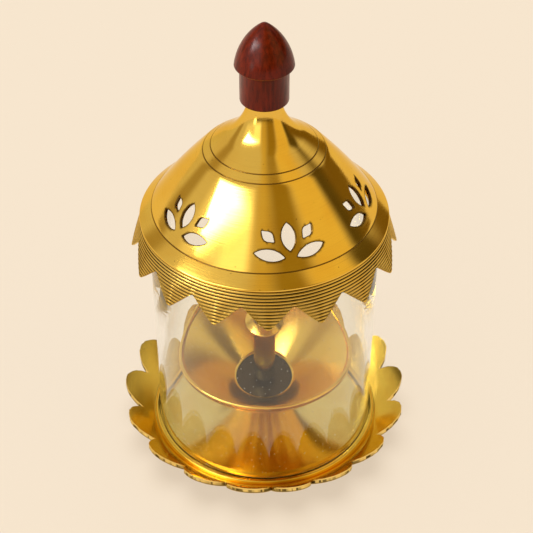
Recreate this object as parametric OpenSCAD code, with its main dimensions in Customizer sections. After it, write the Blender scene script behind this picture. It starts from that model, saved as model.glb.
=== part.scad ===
// Akhand diya: a brass oil lamp that burns under a pierced canopy, inside a glass chimney.
// Millimetres, +Z up, origin on the lamp's axis at the foot. The front faces -Y.

/* [Glass chimney] */
// Outside diameter of the glass tube
glass_d = 80; // [72:0.5:90]
// Wall of the glass tube
glass_wall = 2.2; // [1.6:0.1:3]
// Height of the glass tube
glass_h = 91.3; // [85:0.1:120]
// Room round the foot of the glass, inside the bead
glass_play = 0.5; // [0.3:0.05:0.9]

/* [Lotus base] */
// Height of the foot ring under the dish
foot_h = 3.2; // [3.2:0.1:6]
// Mean radius of the foot ring
foot_r = 31; // [26:0.5:34]
// Width of the foot ring
foot_w = 3; // [2:0.5:5]
// Sheet thickness of the dish
plate_t = 1.8; // [1.2:0.1:2.2]
// Radius of the half-round bead that keeps the glass in place
bead_r = 0.7; // [0.5:0.1:1]
// Slope of the petals above the horizontal, degrees
petal_slope = 42; // [30:0.5:50]
// Radius of the bend between floor and petals
petal_bend = 1; // [0.5:0.5:3]
// Directions of the notches between the petals, degrees from the front
petal_notches = [3, 21, 42, 63, 85.5, 107, 128.5, 149.5, 170.5, 192, 213, 234.5, 255.5, 278, 300, 322,
    342.5]; // [0:0.5:359.5]
// Radius at the petal tips
petal_tip_r = 53.4; // [51:0.1:56]
// Depth of the notches between petals
petal_notch = 6.6; // [4:0.1:7]

/* [Pedestal] */
// Height of the pedestal
ped_h = 12.4; // [11:0.1:18]
// Room between the pedestal's foot and the glass
ped_gap = 1.8; // [1:0.1:4]
// Radius of the pedestal's flat top
ped_top_r = 8.5; // [7.5:0.1:10]
// Radius of the trumpet curve
ped_curve = 48.7; // [44:0.1:70]
// Sheet thickness of the pedestal
ped_t = 1; // [0.8:0.1:1.4]
// Height of the pedestal's outer edge
ped_edge = 0.8; // [0.6:0.1:1.5]

/* [Oil bowl] */
// Outside radius of the bowl at its rim
bowl_r = 32.6; // [29:0.1:34]
// Height of the rim above the pedestal
bowl_h = 18.5; // [14:0.1:22]
// Wall of the bowl at its rim
bowl_wall = 1.2; // [0.9:0.1:1.8]
// Radius of the bowl's outside curve, less its wall
bowl_curve = 40.5; // [32:0.5:60]
// Radius of the flare of the bowl's inside
bowl_flare = 150; // [120:5:240]
// Radius of the rounded rim
rim_bead = 0.7; // [0.6:0.1:1.2]
// Radius of the flat disc at the bottom
disc_r = 10.8; // [9:0.1:13]
// Depth of the disc below the bowl's curve
disc_depth = 0.5; // [0.3:0.1:1]
// Thickness of the floor under the disc
bowl_floor = 1.8; // [1.4:0.1:3]
// Radius of the turned foot under the bowl
bowl_foot_r = 8; // [7:0.1:9]
// Radius of the boss that plugs into the pedestal
boss_r = 6; // [5:0.1:6.4]
// Length of the boss below the bowl
boss_len = 8.4; // [7.6:0.1:9.5]
// Clearance between boss and pedestal
boss_gap = 0.05; // [0.02:0.01:0.2]

/* [Wick holder] */
// Radius of the lower tube
tube_r = 4.25; // [3.8:0.05:5]
// Height of the lower tube above the disc
tube_h = 26.4; // [22:0.1:32]
// Radius of the upper tube
nozzle_r = 3.9; // [3.5:0.05:4.4]
// Height of the upper tube above the lower one
nozzle_h = 8.4; // [5:0.1:14]
// Radius of the tube's bore
tube_bore_r = 2.6; // [2:0.05:2.9]
// Radius of the tube's foot on the disc
tube_foot_r = 3; // [2.8:0.1:3.6]
// Height of the chamfer above the foot
tube_chamfer = 1.7; // [0.8:0.1:3]
// Radius of the spigot under the tube
spigot_r = 2.4; // [2:0.1:2.7]
// Length of the spigot
spigot_len = 2.8; // [2:0.1:3]
// Running clearance of the spigot in its socket
spigot_gap = 0.05; // [0.02:0.01:0.1]
// Radius of the oil inlets near the tube's foot
inlet_r = 1.1; // [0.7:0.1:1.4]
// Outside radius of the drip collar
collar_r = 7.5; // [6.5:0.1:9]
// Height of the collar's conical top
collar_cone = 1.9; // [1.2:0.1:3]
// Height of the collar's rim
collar_edge = 0.5; // [0.4:0.1:1]
// Width of the lip round the collar's top
collar_lip = 0.4; // [0.3:0.05:0.6]
// Clearance of the collar on the tube
collar_gap = 0.02; // [0.01:0.01:0.05]
// Radius of the cotton wick
wick_r = 2.3; // [1.7:0.05:2.5]
// Length of wick above the tube
wick_out = 4.5; // [2:0.1:8]
// Length of the wick's tapered tip
wick_taper = 1.5; // [0.5:0.1:1.8]

/* [Canopy] */
// Room between the glass and the inside of the skirt
skirt_gap = 1.7; // [1:0.1:3]
// Sheet thickness of the skirt
skirt_t = 0.9; // [0.7:0.1:1.2]
// Thickness of the flange that lies on the glass
flange_t = 0.9; // [0.7:0.1:1.5]
// Reach of the flange in over the glass
flange_in = 2.8; // [2.2:0.1:5]
// Drop of the skirt from the flange's top to the tooth tips
skirt_drop = 13.3; // [11:0.1:17]
// Flare of the skirt from the vertical, degrees
skirt_flare = 16.2; // [8:0.1:22]
// Height of the teeth
tooth_h = 7.7; // [5:0.1:9]
// Number of teeth
tooth_count = 16; // [12:1:20]
// Turn of the first tooth from the front, degrees
tooth_turn = 1.5; // [0:0.5:20]
// Width of a tooth's blunt tip
tooth_blunt = 1; // [0.6:0.1:3]
// Number of turned ridges round the skirt
ridge_count = 12; // [8:1:16]
// Height of a ridge
ridge_h = 0.35; // [0.2:0.05:0.5]
// Overhang of the dome's lip past the skirt
lip_over = 0.4; // [0.2:0.1:1]
// Radius of the rounded lip
lip_r = 0.7; // [0.6:0.05:0.9]
// Width of the dome's flat land on the flange
land_w = 1.6; // [1.2:0.1:2.4]
// Sheet thickness of the dome
dome_t = 1.2; // [0.9:0.1:1.6]
// Radial width of the brim
brim_w = 4.3; // [3:0.1:6]
// Slope of the brim, degrees
brim_slope = 40; // [32:0.5:46]
// Radial width of the cone above the brim
cone_w = 17.5; // [14:0.1:20]
// Slope of the cone, degrees
cone_slope = 51.3; // [46:0.1:56]
// Slope of the shoulder above the cone, degrees
shoulder_slope = 37; // [34:0.5:42]
// Radius of the neck
neck_r = 5.4; // [5.4:0.05:7.4]
// Height of the neck above the corner of the flare
neck_h = 7.6; // [6:0.1:8]
// Radius of the flare under the neck
flare_r = 20; // [18:0.5:24]
// Thickness of the plate that closes the neck
neck_cap = 1.6; // [1.2:0.1:2.4]
// Half width of the turned grooves
groove_r = 0.3; // [0.2:0.05:0.4]
// Distance of the two upper grooves in from the shoulder's edge
groove_in = [0.6, 3.2]; // [0.4:0.1:4]

/* [Leaf piercings] */
// Directions of the pierced sprays, degrees from the front
spray_turns = [-52, 14, 74, 146, 219]; // [-180:1:360]
// Height of the spray's stem point above the brim, along the cone
spray_up = 4; // [3:0.1:6]
// Length of the middle leaf
leaf_len = 9.1; // [6:0.1:11]
// Distance of the middle leaf from the stem point
leaf_up = 2.7; // [2:0.1:4]
// Width of the middle leaf
leaf_w = 4.5; // [3:0.1:5]
// Length of the side leaves
side_len = 9.9; // [6:0.1:11]
// Distance of the side leaves from the stem point
side_out = 2.25; // [1.5:0.05:4]
// Width of the side leaves
side_w = 3.7; // [2.5:0.1:4.2]
// Rise of the side leaves, degrees
side_rise = 18; // [14:1:22]
// Length of the diamond leaves
bud_len = 5.6; // [3:0.1:6]
// Distance of the diamond leaves from the stem point
bud_out = 7.75; // [6:0.05:9]
// Turn of the diamond leaves from the middle leaf, degrees
bud_turn = 38; // [30:1:46]
// Width of the diamond leaves
bud_w = 3.9; // [2.5:0.1:4]

/* [Finial] */
// Radius of the finial's straight neck
knob_neck_r = 8.1; // [7:0.1:9]
// Height of the finial's straight neck
knob_neck_h = 12.4; // [8:0.1:15]
// Radius of the finial's head
knob_r = 9.8; // [9.2:0.1:12]
// Height of the finial's pointed head
knob_h = 14.9; // [10:0.1:20]
// Radius of the curve of the head
knob_curve = 22; // [18:0.5:40]
// Radius of the blunt point
knob_tip = 0.6; // [0.3:0.1:1]
// Height of the chamfer under the head's rim
knob_rim = 0.8; // [0.4:0.1:1.1]
// Chamfer at the foot of the finial
knob_foot = 0.6; // [0.3:0.1:1.2]

/* [Fasteners] */
// Radius of the tie bolt
bolt_r = 2.5; // [2:0.1:3]
// Length of bolt in the bowl's boss
bolt_engage = 5.6; // [4:0.1:5.8]
// Radius of the tie bolt's head
bolt_head_r = 4.4; // [4:0.1:5]
// Height of the tie bolt's head
bolt_head_h = 2; // [1.4:0.1:2.2]
// Radius of the finial screw
screw_r = 2; // [1.5:0.1:2.2]
// Length of screw in the wood
screw_engage = 13; // [8:0.5:16]
// Radius of the finial screw's head
screw_head_r = 3.4; // [2.8:0.1:3.6]
// Height of the finial screw's head
screw_head_h = 2.2; // [1.6:0.1:3]
// Thickness of both washers
washer_t = 0.8; // [0.6:0.1:1]
// Radius of the tie washer
tie_washer_r = 6; // [5:0.1:8]
// Clearance of shanks in plain holes
hole_gap = 0.2; // [0.1:0.05:0.4]
// Clearance of threads in their holes
thread_gap = 0.03; // [0.02:0.01:0.1]
// Width of the driver slots
slot_w = 1; // [0.8:0.1:1.2]

/* [Hidden] */
$fn = 128;
brass = [0.83, 0.62, 0.22];
// Room left past the end of a blind hole or beyond a cut
room = 0.4;
past = 1;
// Bands that make up the curves of the finial and of the bowl's inside
curve_steps = 14;

glass_r = glass_d/2;
glass_in_r = glass_r - glass_wall;
z_seat = foot_h + plate_t;
z_glass_top = z_seat + glass_h;
z_flange_top = z_glass_top + flange_t;
z_ped_top = z_seat + ped_h;
z_disc = z_ped_top + bowl_floor;
z_bowl_floor = z_disc + disc_depth;
z_rim = z_ped_top + bowl_h;
z_boss = z_ped_top - boss_len;
z_step = z_disc + tube_h;
z_nozzle = z_step + nozzle_h;
z_bore = z_disc + tube_chamfer;
ped_foot_r = glass_in_r - ped_gap;

// A point on a line that falls outward at a slope, at radius r
function fall(p, slope, r) = [r, p.y - (r - p.x)*tan(slope)];
// The same point carried inward, square to the slope
function inset(p, slope, d) = p - d*[sin(slope), cos(slope)];
// Where two outward falling lines meet
function meet(p, a, q, b) =
    let (x = (q.y - p.y + q.x*tan(b) - p.x*tan(a))/(tan(b) - tan(a))) fall(p, a, x);
// Centre of the arc of radius r from p to q that bulges to the right of the way from p to q
function arc_centre(p, q, r) =
    let (m = (p + q)/2, d = q - p, l = norm(d), k = sqrt(r*r - l*l/4)/l) m + k*[-d.y, d.x];
// Points of the arc about c from p to q
function arc_points(c, p, q) =
    let (from = atan2(p.y - c.y, p.x - c.x), step = (atan2(q.y - c.y, q.x - c.x) - from)/curve_steps)
    [for (k = [0:curve_steps]) c + norm(p - c)*[cos(from + k*step), sin(from + k*step)]];

// Dome outline, from the lip up
skirt_top_r = glass_r + skirt_gap + skirt_t;
brim_r = skirt_top_r + lip_over;
lip_c = [brim_r - lip_r, z_flange_top + lip_r];
brim_p = lip_c + lip_r*[sin(brim_slope), cos(brim_slope)];
knee_p = fall(brim_p, brim_slope, brim_r - brim_w);
shoulder_p = fall(knee_p, cone_slope, knee_p.x - cone_w);
corner_p = fall(shoulder_p, shoulder_slope, neck_r);
flare_c = corner_p + flare_r*[1, tan(45 - shoulder_slope/2)];
z_neck = corner_p.y + neck_h;
z_knob_head = z_neck + knob_neck_h;

// Turn a profile about the lamp's axis, keeping its right half
module lathe() {
    rotate_extrude() intersection() {
        square([petal_tip_r + past, 2*z_knob_head]);
        children();
    }
}

// A disc with a central hole
module washer(r, hole, t) {
    difference() {
        cylinder(r = r, h = t);
        translate([0, 0, -past]) cylinder(r = hole, h = t + 2*past);
    }
}

// Solid of the dome's outer form drawn in by d, above its flat underside
module dome_profile(d) {
    brim = inset(brim_p, brim_slope, d);
    cone = inset(knee_p, cone_slope, d);
    shoulder = inset(shoulder_p, shoulder_slope, d);
    low = fall(brim, brim_slope, brim_p.x);
    knee = meet(brim, brim_slope, cone, cone_slope);
    bend = meet(cone, cone_slope, shoulder, shoulder_slope);
    sweep = flare_r + d;
    foot = inset(flare_c, shoulder_slope, sweep);
    top = [flare_c.x - sqrt(sweep^2 - (flare_c.y - z_neck)^2), z_neck];
    difference() {
        polygon([[0, z_flange_top], [low.x, z_flange_top], low, knee, bend, foot, top, [0, z_neck]]);
        translate(flare_c) circle(r = sweep);
    }
}

// Pointed leaf along +Y from the origin: two arcs that meet at its tips
module leaf(len, w) {
    arc = (len*len + w*w)/(4*w);
    intersection_for (side = [-1, 1])
        translate([side*(arc - w/2), len/2]) circle(r = arc);
}

// Small diamond leaf along +Y from the origin
module bud(len, w) {
    polygon([[0, 0], [w/2, len/2], [0, len], [-w/2, len/2]]);
}

// One spray of five leaves, in the plane of the cone, stem at the origin
module spray() {
    translate([0, leaf_up]) leaf(leaf_len, leaf_w);
    for (side = [-1, 1]) {
        rotate(-side*(90 - side_rise)) translate([0, side_out]) leaf(side_len, side_w);
        rotate(-side*bud_turn) translate([0, bud_out]) bud(bud_len, bud_w);
    }
}

module base_plate() {
    bead_c = glass_r + glass_play + bead_r;
    bend_r0 = bead_c + bead_r;
    rise = petal_bend*tan(petal_slope/2);
    start = [bend_r0 + rise, z_seat];
    up = [cos(petal_slope), sin(petal_slope)];
    thick = plate_t*[-sin(petal_slope), cos(petal_slope)];
    under = start + [plate_t*tan(petal_slope/2), -plate_t];
    run = (petal_tip_r + plate_t - start.x)/up.x;
    notch_r = petal_tip_r - petal_notch;
    last = len(petal_notches) - 1;
    color(brass) {
        intersection() {
            lathe() {
                polygon([[0, foot_h], under, under + run*up, start + run*up, start, [0, z_seat]]);
                difference() {
                    polygon([start - [rise, 0], start, start + rise*up]);
                    translate(start + [-rise, petal_bend]) circle(r = petal_bend);
                }
                intersection() {
                    translate([bead_c, z_seat]) circle(r = bead_r);
                    translate([0, foot_h]) square([petal_tip_r, plate_t + bead_r]);
                }
            }
            difference() {
                linear_extrude(z_glass_top) {
                    circle(r = notch_r - past);
                    for (k = [0:last]) {
                        from = k == 0 ? petal_notches[last] - 360 : petal_notches[k - 1];
                        half = (petal_notches[k] - from)/2;
                        lobe_c = (petal_tip_r^2 - notch_r^2)/(2*(petal_tip_r - notch_r*cos(half)));
                        rotate(from + half - 90) translate([lobe_c, 0]) circle(r = petal_tip_r - lobe_c);
                    }
                }
                translate([0, 0, -past]) cylinder(r = bolt_r + hole_gap, h = z_glass_top);
            }
        }
        difference() {
            cylinder(r = foot_r + foot_w/2, h = foot_h);
            translate([0, 0, -past]) cylinder(r = foot_r - foot_w/2, h = foot_h + 2*past);
        }
    }
}

// Trumpet outline under its curve, drawn in by d
module trumpet(d) {
    edge = [ped_foot_r, z_seat + ped_edge];
    top = [ped_top_r, z_ped_top];
    c = arc_centre(top, edge, ped_curve);
    difference() {
        polygon([[0, z_seat], [ped_foot_r, z_seat], edge, top - [0, d], [0, z_ped_top - d]]);
        translate(c) circle(r = ped_curve + d);
    }
}

module pedestal() {
    color(brass) lathe() difference() {
        trumpet(0);
        trumpet(ped_t);
        square([boss_r + boss_gap, z_ped_top + past]);
    }
}

module oil_bowl() {
    floor_p = [disc_r + disc_depth, z_bowl_floor];
    rim_c = [bowl_r - rim_bead, z_rim - rim_bead];
    lip_p = rim_c - [rim_bead/2, 0];
    outer_c = arc_centre(floor_p, rim_c, bowl_curve);
    inner_c = arc_centre(lip_p, floor_p, bowl_flare);
    color(brass) difference() {
        union() {
            lathe() {
                difference() {
                    intersection() {
                        translate(outer_c) circle(r = bowl_curve + bowl_wall);
                        translate([0, z_ped_top]) square([bowl_r, bowl_h - rim_bead]);
                    }
                    polygon(concat([[0, z_bowl_floor]], arc_points(inner_c, floor_p, lip_p),
                        [[lip_p.x, z_rim], [0, z_rim]]));
                }
                translate(rim_c) circle(r = rim_bead);
            }
            translate([0, 0, z_ped_top]) cylinder(r = bowl_foot_r, h = bowl_floor);
            translate([0, 0, z_boss]) cylinder(r = boss_r, h = boss_len + bowl_floor);
        }
        translate([0, 0, z_disc]) cylinder(r = disc_r, h = disc_depth + past);
        translate([0, 0, z_disc - spigot_len - room/2])
            cylinder(r = spigot_r + spigot_gap, h = spigot_len + past);
        translate([0, 0, z_boss - past])
            cylinder(r = bolt_r + thread_gap, h = bolt_engage + room + past);
    }
}

module wick_tube() {
    color(brass) difference() {
        union() {
            translate([0, 0, z_disc - spigot_len]) cylinder(r = spigot_r, h = spigot_len + past);
            translate([0, 0, z_disc]) cylinder(r1 = tube_foot_r, r2 = tube_r, h = tube_chamfer);
            translate([0, 0, z_bore]) cylinder(r = tube_r, h = z_step - z_bore);
            translate([0, 0, z_step]) cylinder(r = nozzle_r, h = nozzle_h);
        }
        translate([0, 0, z_bore]) cylinder(r = tube_bore_r, h = z_nozzle);
        translate([0, 0, z_bore + 2*inlet_r]) rotate([0, 90, 0])
            cylinder(r = inlet_r, h = 4*tube_r, center = true);
    }
}

module drip_collar() {
    hole = tube_r + collar_gap;
    top_r = hole + 2*collar_lip;
    z_top = z_step + collar_cone/2;
    z_edge = z_top - collar_cone;
    z_under = z_edge - collar_edge;
    color(brass) lathe() polygon([[hole, z_under - collar_lip],
        [collar_r - 2*collar_lip, z_under - collar_lip], [collar_r, z_under],
        [collar_r, z_edge], [top_r, z_top], [top_r - collar_lip, z_top],
        [top_r - collar_lip, z_step], [hole, z_step]]);
}

module cotton_wick() {
    color("ivory") {
        translate([0, 0, z_bore]) cylinder(r = wick_r, h = z_nozzle - z_bore + wick_out - wick_taper);
        translate([0, 0, z_nozzle + wick_out - wick_taper])
            cylinder(r1 = wick_r, r2 = wick_r/2, h = wick_taper);
    }
}

module glass_chimney() {
    color([0.9, 0.95, 0.95, 0.4]) translate([0, 0, z_seat]) washer(glass_r, glass_in_r, glass_h);
}

module canopy_dome() {
    color(brass) difference() {
        lathe() difference() {
            union() {
                dome_profile(0);
                translate(lip_c) circle(r = lip_r);
                translate([0, z_flange_top]) square([lip_c.x, lip_r]);
            }
            intersection() {
                dome_profile(dome_t);
                square([brim_r - land_w, z_neck - neck_cap]);
            }
            for (d = groove_in)
                translate(fall(shoulder_p, shoulder_slope, shoulder_p.x - d)) circle(r = groove_r);
            translate(knee_p) circle(r = groove_r);
        }
        for (turn = spray_turns)
            rotate(turn) translate([0, -knee_p.x, knee_p.y]) rotate([cone_slope, 0, 0])
                translate([0, spray_up, -4*dome_t]) linear_extrude(8*dome_t) spray();
        translate([0, 0, z_neck - neck_cap - past])
            cylinder(r = screw_r + hole_gap, h = neck_cap + 2*past);
    }
}

module canopy_skirt() {
    pitch = skirt_drop/ridge_count;
    lean = tan(skirt_flare);
    z_tip = z_flange_top - skirt_drop;
    half = 180/tooth_count;
    tip_r = skirt_top_r + skirt_drop*lean;
    gap_w = 2*tip_r*sin(half) - tooth_blunt;
    ridges = [for (k = [0:ridge_count - 1], s = [0, 0.5])
        let (drop = (k + s)*pitch)
        [skirt_top_r - ridge_h/2 + 2*s*ridge_h + drop*lean, z_flange_top - drop]];
    color(brass) difference() {
        lathe() polygon(concat(ridges, [
            [tip_r - ridge_h/2, z_tip],
            [tip_r - skirt_t, z_tip],
            [glass_r + skirt_gap + flange_t*lean, z_glass_top],
            [glass_r - flange_in, z_glass_top],
            [glass_r - flange_in, z_flange_top]]));
        for (k = [0:tooth_count - 1])
            rotate(tooth_turn + half*(2*k + 1)) translate([0, -glass_r, z_tip]) rotate([90, 0, 0])
                linear_extrude(tip_r) polygon([[0, tooth_h], [-gap_w, -tooth_h], [gap_w, -tooth_h]]);
    }
}

module finial() {
    rim = [knob_r, z_knob_head + knob_rim];
    tip = [knob_tip, rim.y + knob_h];
    head = arc_points(arc_centre(rim, tip, knob_curve), rim, tip);
    color([0.42, 0.12, 0.06]) difference() {
        lathe() polygon(concat(
            [[0, z_neck], [knob_neck_r - knob_foot, z_neck], [knob_neck_r, z_neck + knob_foot],
                [knob_neck_r, z_knob_head], [knob_r - knob_rim, z_knob_head]],
            head,
            [[0, tip.y]]));
        translate([0, 0, z_neck - past])
            cylinder(r = screw_r + thread_gap, h = screw_engage + room + past);
    }
}

// Slotted screw along +Z: its head lies below the origin, its shank above
module slotted_screw(r, len, head_r, head_h) {
    difference() {
        union() {
            cylinder(r = r, h = len);
            translate([0, 0, -head_h]) cylinder(r = head_r, h = head_h);
        }
        translate([-2*head_r, -slot_w/2, -1.5*head_h]) cube([4*head_r, slot_w, head_h]);
    }
}

module finial_screw() {
    color("silver") translate([0, 0, z_neck - neck_cap - washer_t])
        slotted_screw(screw_r, neck_cap + washer_t + screw_engage, screw_head_r, screw_head_h);
}

module finial_washer() {
    color("silver") translate([0, 0, z_neck - neck_cap - washer_t])
        washer(neck_r - dome_t - hole_gap, screw_r + hole_gap, washer_t);
}

module tie_bolt() {
    color("silver") translate([0, 0, foot_h - washer_t])
        slotted_screw(bolt_r, z_boss + bolt_engage - foot_h + washer_t, bolt_head_r, bolt_head_h);
}

module tie_washer() {
    color("silver") translate([0, 0, foot_h - washer_t])
        washer(tie_washer_r, bolt_r + hole_gap, washer_t);
}

base_plate();
pedestal();
oil_bowl();
wick_tube();
drip_collar();
cotton_wick();
glass_chimney();
canopy_dome();
canopy_skirt();
finial();
finial_screw();
finial_washer();
tie_bolt();
tie_washer();
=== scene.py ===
"""Looks of a brass akhand diya: turned and pierced brass round a glass chimney, in a pale studio.

Outlines are (radius, height) in millimetres from the lamp's axis and foot, and meshes are in metres.
Angles round the lamp are degrees from the front, which faces -Y, and grow towards +X.
"""
import math
import random

import bmesh
import bpy
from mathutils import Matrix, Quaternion, Vector, geometry, noise


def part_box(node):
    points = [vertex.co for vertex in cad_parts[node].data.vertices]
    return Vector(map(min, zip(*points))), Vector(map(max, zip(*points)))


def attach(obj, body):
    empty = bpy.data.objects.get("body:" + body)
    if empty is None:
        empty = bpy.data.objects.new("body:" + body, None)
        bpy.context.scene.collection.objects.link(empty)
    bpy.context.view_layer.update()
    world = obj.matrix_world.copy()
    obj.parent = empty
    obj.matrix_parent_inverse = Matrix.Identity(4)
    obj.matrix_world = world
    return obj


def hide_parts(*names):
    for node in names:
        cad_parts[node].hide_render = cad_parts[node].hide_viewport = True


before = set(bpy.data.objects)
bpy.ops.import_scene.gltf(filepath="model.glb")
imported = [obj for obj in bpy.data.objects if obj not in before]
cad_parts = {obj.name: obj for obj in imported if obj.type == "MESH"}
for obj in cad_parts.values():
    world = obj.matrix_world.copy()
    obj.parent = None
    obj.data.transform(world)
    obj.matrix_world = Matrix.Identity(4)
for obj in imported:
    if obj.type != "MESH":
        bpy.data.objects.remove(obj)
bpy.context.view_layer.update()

# A millimetre and the gap that joins two points, in metres, and the angle of a sharp edge, in degrees
MM, JOIN_GAP, SHARP = 0.001, 1e-7, 35
draw = random.Random(11)

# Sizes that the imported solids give


def span(node):
    """Outer radius, lowest height and highest height of a node, in millimetres."""
    low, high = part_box(node)
    return high.x / MM, low.z / MM, high.z / MM


GLASS_R, Z_SEAT, Z_GLASS_TOP = span("glass_chimney")
BRIM_R, Z_FLANGE_TOP, Z_NECK = span("canopy_dome")
SKIRT_TIP_R, Z_SKIRT_TIP, _ = span("canopy_skirt")
PED_FOOT_R, _, Z_PED_TOP = span("pedestal")
BOWL_R, Z_BOSS, Z_RIM = span("oil_bowl")
TUBE_R, Z_SPIGOT, Z_NOZZLE = span("wick_tube")
COLLAR_R, Z_COLLAR_UNDER, Z_COLLAR_TOP = span("drip_collar")
WICK_R, Z_WICK_FOOT, Z_WICK_TOP = span("cotton_wick")
KNOB_R, _, Z_KNOB_TIP = span("finial")

# Sizes that the solids' boxes don't give, in millimetres and degrees
GLASS_WALL = 2.2
PLATE_T = 1.8
FOOT_R, FOOT_W = 31, 3
BEAD_R, GLASS_PLAY = 0.7, 0.5
PETAL_SLOPE, PETAL_BEND, PETAL_TIP_R, PETAL_NOTCH = 42, 1, 53.4, 6.6
PETAL_NOTCHES = (3, 21, 42, 63, 85.5, 107, 128.5, 149.5, 170.5, 192, 213, 234.5, 255.5, 278, 300, 322, 342.5)
PED_TOP_R, PED_CURVE, PED_T, PED_EDGE = 8.5, 48.7, 1, 0.8
BOWL_CURVE, BOWL_FLARE, BOWL_WALL, BOWL_FLOOR, RIM_BEAD = 40.5, 150, 1.2, 1.8, 0.7
DISC_R, DISC_DEPTH, BOSS_R = 10.8, 0.5, 6
BOLT_R, SOCKET_R, SPIGOT_R, BOLT_DEPTH = 2.5, 2.45, 2.4, 6
TUBE_FOOT_R, TUBE_CHAMFER, NOZZLE_R, NOZZLE_H, BORE_R, INLET_R = 3, 1.7, 3.9, 8.4, 2.6, 1.1
COLLAR_CONE, COLLAR_EDGE, COLLAR_LIP = 1.9, 0.5, 0.4
SKIRT_T, SKIRT_GAP, FLANGE_T, FLANGE_IN, LIP_R = 0.9, 1.7, 0.9, 2.8, 0.7
TOOTH_COUNT, TOOTH_H, TOOTH_TURN, RIDGE_COUNT, RIDGE_H = 16, 7.7, 1.5, 12, 0.35
BRIM_W, BRIM_SLOPE, LAND_W, DOME_T = 4.3, 40, 1.6, 1.2
CONE_W, CONE_SLOPE, CONE_CROWN, SHOULDER_SLOPE = 17.5, 51.3, 0.43, 37
NECK_R, FLARE_R, NECK_CAP, SCREW_R = 5.4, 20, 1.6, 2
GROOVE_R, GROOVE_SEEN, GROOVE_IN = 0.3, 0.23, (0.6, 3.2)
SPRAY_TURNS = (-52, 14, 74, 146, 219)
SPRAY_UP = 4
LEAF_UP, LEAF_LEN, LEAF_W = 2.7, 9.1, 4.5
SIDE_OUT, SIDE_LEN, SIDE_W, SIDE_RISE = 2.25, 9.9, 3.7, 18
BUD_OUT, BUD_LEN, BUD_W, BUD_TURN = 7.75, 5.6, 3.9, 38
KNOB_NECK_R, KNOB_NECK_H, KNOB_RIM, KNOB_FOOT, KNOB_CURVE, KNOB_TIP = 8.1, 12.4, 0.8, 0.6, 22, 0.6
HOLE_GAP, THREAD_GAP, BOSS_GAP, COLLAR_GAP = 0.2, 0.03, 0.05, 0.02
Z_DISC = Z_PED_TOP + BOWL_FLOOR
Z_STEP = Z_NOZZLE - NOZZLE_H

# Outlines


def arc(centre, radius, start, stop, steps=8):
    """Points of an arc, its angles in degrees up from the radial direction."""
    turns = [math.radians(start + (stop - start) * k / steps) for k in range(steps + 1)]
    return [(centre[0] + radius * math.cos(t), centre[1] + radius * math.sin(t)) for t in turns]


def arc_centre(p, q, radius):
    """Centre of the arc from p to q that bulges to the right of the way from p to q."""
    middle = ((p[0] + q[0]) / 2, (p[1] + q[1]) / 2)
    dx, dy = q[0] - p[0], q[1] - p[1]
    length = math.hypot(dx, dy)
    k = math.sqrt(radius ** 2 - length ** 2 / 4) / length
    return middle[0] - k * dy, middle[1] + k * dx


def heading(centre, point):
    """Angle of a point round a centre, in degrees."""
    return math.degrees(math.atan2(point[1] - centre[1], point[0] - centre[0]))


def rounded(points, radius, steps=4):
    """A closed outline with rounded corners. A corner's third value is a radius of its own."""
    most_of_side = 0.45
    result = []
    for k, point in enumerate(points):
        p = Vector(point[:2])
        before = Vector(points[k - 1][:2]) - p
        after = Vector(points[(k + 1) % len(points)][:2]) - p
        own = point[2] if len(point) > 2 else radius
        reach = min(own, most_of_side * before.length, most_of_side * after.length)
        if reach <= 0:
            result.append(tuple(p))
            continue
        first = p + before.normalized() * reach
        last = p + after.normalized() * reach
        for step in range(steps + 1):
            u = step / steps
            result.append(tuple((1 - u) ** 2 * first + 2 * u * (1 - u) * p + u ** 2 * last))
    return result


def fall(point, slope, radius):
    """The point at a radius on a line that falls outwards at a slope."""
    return radius, point[1] - (radius - point[0]) * math.tan(math.radians(slope))


def inset(point, slope, depth):
    """A point carried inwards, square to a slope."""
    turn = math.radians(slope)
    return point[0] - depth * math.sin(turn), point[1] - depth * math.cos(turn)


def meet(p, a, q, b):
    """Where two lines that fall outwards meet."""
    rise, other = math.tan(math.radians(a)), math.tan(math.radians(b))
    return fall(p, a, (q[1] - p[1] + q[0] * other - p[0] * rise) / (other - rise))


# Meshes


def polar(angle, radius, height):
    """A point round the lamp, in metres."""
    turn = math.radians(angle)
    return Vector((radius * math.sin(turn), -radius * math.cos(turn), height)) * MM


def turned(bm, outline_at, segments, closed=True):
    """Turns an outline about the axis; outline_at gives it for an angle, a point's third value its wear and
    painted shade.
    """
    wear_and_shade = bm.verts.layers.float.get("wear_and_shade") or bm.verts.layers.float.new("wear_and_shade")
    rings = []
    for k in range(segments):
        angle = 360 * k / segments
        ring = []
        for point in outline_at(angle):
            vert = bm.verts.new(polar(angle, point[0], point[1]))
            vert[wear_and_shade] = point[2] if len(point) > 2 else 0
            ring.append(vert)
        rings.append(ring)
    strips = []
    for k, ring in enumerate(rings):
        other = rings[(k + 1) % segments]
        last = len(ring) if closed else len(ring) - 1
        pairs = [(i, (i + 1) % len(ring)) for i in range(last)]
        strips.append([bm.faces.new((ring[i], other[i], other[j], ring[j])) for i, j in pairs])
    return strips


def piece(name, bm, body, materials, node, sharp=SHARP):
    """Closes up a mesh and sets it on its body, in place of a CAD node."""
    bmesh.ops.remove_doubles(bm, verts=bm.verts, dist=JOIN_GAP)
    bmesh.ops.recalc_face_normals(bm, faces=bm.faces)
    mesh = bpy.data.meshes.new(name)
    bm.to_mesh(mesh)
    bm.free()
    rough = [p.index for p in mesh.polygons if p.material_index]
    mesh.shade_smooth()
    mesh.set_sharp_from_angle(angle=math.radians(sharp))
    for index in rough:
        mesh.polygons[index].use_smooth = False
    for material in materials:
        mesh.materials.append(material)
    obj = bpy.data.objects.new(name, mesh)
    bpy.context.scene.collection.objects.link(obj)
    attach(obj, body)
    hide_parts(node)
    return obj


def lathe(name, outline, body, materials, node, segments=192):
    """A piece turned from one closed outline."""
    bm = bmesh.new()
    turned(bm, lambda angle: outline, segments)
    return piece(name, bm, body, materials, node)


# Materials


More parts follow.
